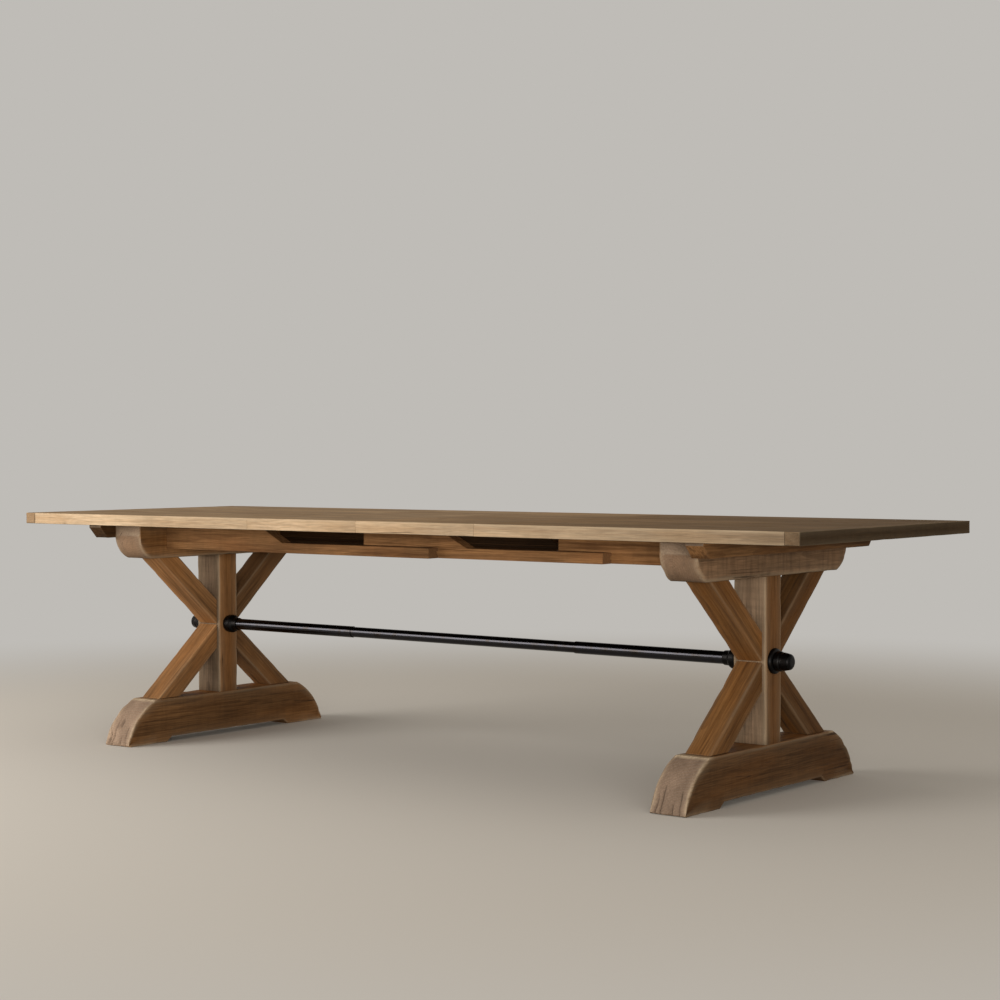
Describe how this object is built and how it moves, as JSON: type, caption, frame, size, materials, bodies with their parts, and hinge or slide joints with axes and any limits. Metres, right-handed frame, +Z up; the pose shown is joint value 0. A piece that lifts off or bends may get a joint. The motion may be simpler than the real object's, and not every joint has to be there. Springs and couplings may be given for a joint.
{
  "type": "trestle dining table",
  "caption": "Long wooden trestle dining table with crossed braces, a telescoping black pipe stretcher and an extending plank top on wooden slides.",
  "frame": {"origin": "on the floor, under the middle of the top", "axes": "+X along the table's length, +Y to the back, +Z up"},
  "size_m": [2.984, 0.98, 0.762],
  "materials": {
    "top_wood": "waxed salvaged planks, matt",
    "base_wood": "waxed salvaged timber, matt, worn edges",
    "black_steel": "blackened steel, satin",
    "screw_steel": "plain steel"
  },
  "bodies": {
    "left_half": {"left_bearer": "base_wood", "left_breadboard": "top_wood", "left_cleat": "base_wood", "left_foot": "base_wood", "left_leaf_ledge": "base_wood", "left_lower_brace_back": "base_wood", "left_lower_brace_front": "base_wood", "left_pipe_cap": "black_steel", "left_pipe_collar": "black_steel", "left_pipe_flange": "black_steel", "left_pipe_sleeve": "black_steel", "left_post": "base_wood", "left_slide_back": "base_wood", "left_slide_front": "base_wood", "left_slide_screws": "screw_steel", "left_top_board_1": "top_wood", "left_top_board_2": "top_wood", "left_top_board_3": "top_wood", "left_top_board_4": "top_wood", "left_top_board_5": "top_wood", "left_upper_brace_back": "base_wood", "left_upper_brace_front": "base_wood"},
    "right_half": {"right_bearer": "base_wood", "right_breadboard": "top_wood", "right_cleat": "base_wood", "right_foot": "base_wood", "right_leaf_ledge": "base_wood", "right_lower_brace_back": "base_wood", "right_lower_brace_front": "base_wood", "right_pipe_cap": "black_steel", "right_pipe_collar": "black_steel", "right_pipe_flange": "black_steel", "right_pipe_sleeve": "black_steel", "right_post": "base_wood", "right_slide_back": "base_wood", "right_slide_front": "base_wood", "right_slide_screws": "screw_steel", "right_top_board_1": "top_wood", "right_top_board_2": "top_wood", "right_top_board_3": "top_wood", "right_top_board_4": "top_wood", "right_top_board_5": "top_wood", "right_upper_brace_back": "base_wood", "right_upper_brace_front": "base_wood"},
    "middle_slides": {"inner_pipe": "black_steel", "middle_slide_back": "base_wood", "middle_slide_front": "base_wood"},
    "left_leaf": {"left_leaf_batten": "base_wood", "left_leaf_board_1": "top_wood", "left_leaf_board_2": "top_wood", "left_leaf_board_3": "top_wood", "left_leaf_board_4": "top_wood", "left_leaf_board_5": "top_wood"},
    "right_leaf": {"right_leaf_batten": "base_wood", "right_leaf_board_1": "top_wood", "right_leaf_board_2": "top_wood", "right_leaf_board_3": "top_wood", "right_leaf_board_4": "top_wood", "right_leaf_board_5": "top_wood"}
  },
  "joints": [
    {"name": "extension", "type": "slide", "parent": "left_half", "child": "right_half", "axis": [1, 0, 0], "range_m": [0, 0.06]},
    {"name": "middle_slide_run", "type": "slide", "parent": "left_half", "child": "middle_slides", "axis": [1, 0, 0], "range_m": [0, 0.03]},
    {"name": "left_leaf_lift", "type": "slide", "parent": "left_half", "child": "left_leaf", "axis": [0, 0, 1], "range_m": [0, 0.3]},
    {"name": "right_leaf_lift", "type": "slide", "parent": "right_half", "child": "right_leaf", "axis": [0, 0, 1], "range_m": [0, 0.3]}
  ],
  "couplings": [
    {"joint": "middle_slide_run", "follows": "extension", "ratio": 0.5}
  ]
}
